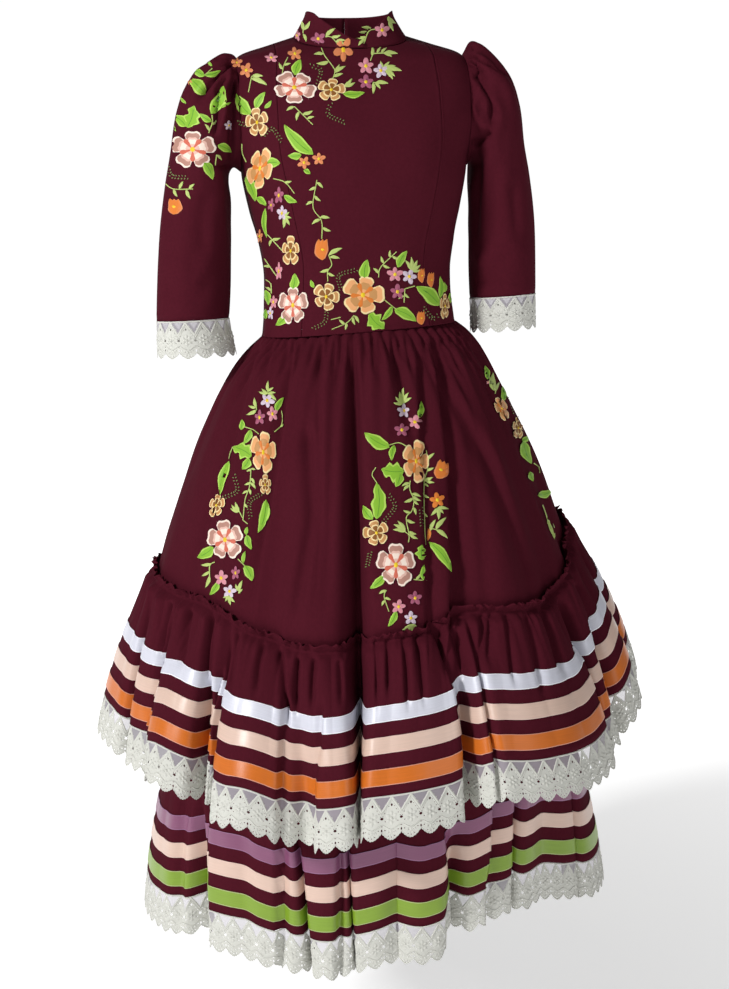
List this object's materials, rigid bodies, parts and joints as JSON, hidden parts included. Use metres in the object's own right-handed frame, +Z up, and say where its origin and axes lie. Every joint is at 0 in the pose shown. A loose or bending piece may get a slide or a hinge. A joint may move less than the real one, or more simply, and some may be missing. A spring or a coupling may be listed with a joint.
{
  "type": "escaramuza dress",
  "caption": "Escaramuza dress in worn form: stand collar, puff elbow sleeves, fitted bodice, gathered skirt with ribboned ruffles and lace hems.",
  "frame": {"origin": "middle of the neck base between the shoulders, where the wearer's shoulders carry the dress", "axes": "+Z up, the front faces -Y, +X is the wearer's left"},
  "size_m": [0.7383, 0.7463, 1.1849],
  "materials": {
    "wine_cloth": "matte, slightly lustrous plain poplin",
    "ribbon_white": "satin",
    "ribbon_beige": "satin",
    "ribbon_orange": "satin",
    "ribbon_purple": "satin",
    "ribbon_green": "satin",
    "lace": "matte guipure-style lace on sheer mesh"
  },
  "bodies": {
    "root": {"bodice_front_centre": "wine_cloth", "bodice_side_front_left": "wine_cloth", "bodice_side_front_right": "wine_cloth", "bodice_back_left": "wine_cloth", "bodice_back_right": "wine_cloth", "collar_left": "wine_cloth", "collar_right": "wine_cloth", "sleeve_left": "wine_cloth", "sleeve_right": "wine_cloth", "skirt_front": "wine_cloth", "skirt_back": "wine_cloth", "ruffle_upper": "wine_cloth", "ruffle_lower": "wine_cloth", "cuff_lace_left": "lace", "cuff_lace_right": "lace", "lace_upper": "lace", "lace_lower": "lace", "ribbon_upper_white": "ribbon_white", "ribbon_upper_beige": "ribbon_beige", "ribbon_upper_orange": "ribbon_orange", "ribbon_lower_purple": "ribbon_purple", "ribbon_lower_beige": "ribbon_beige", "ribbon_lower_green": "ribbon_green"}
  },
  "joints": []
}
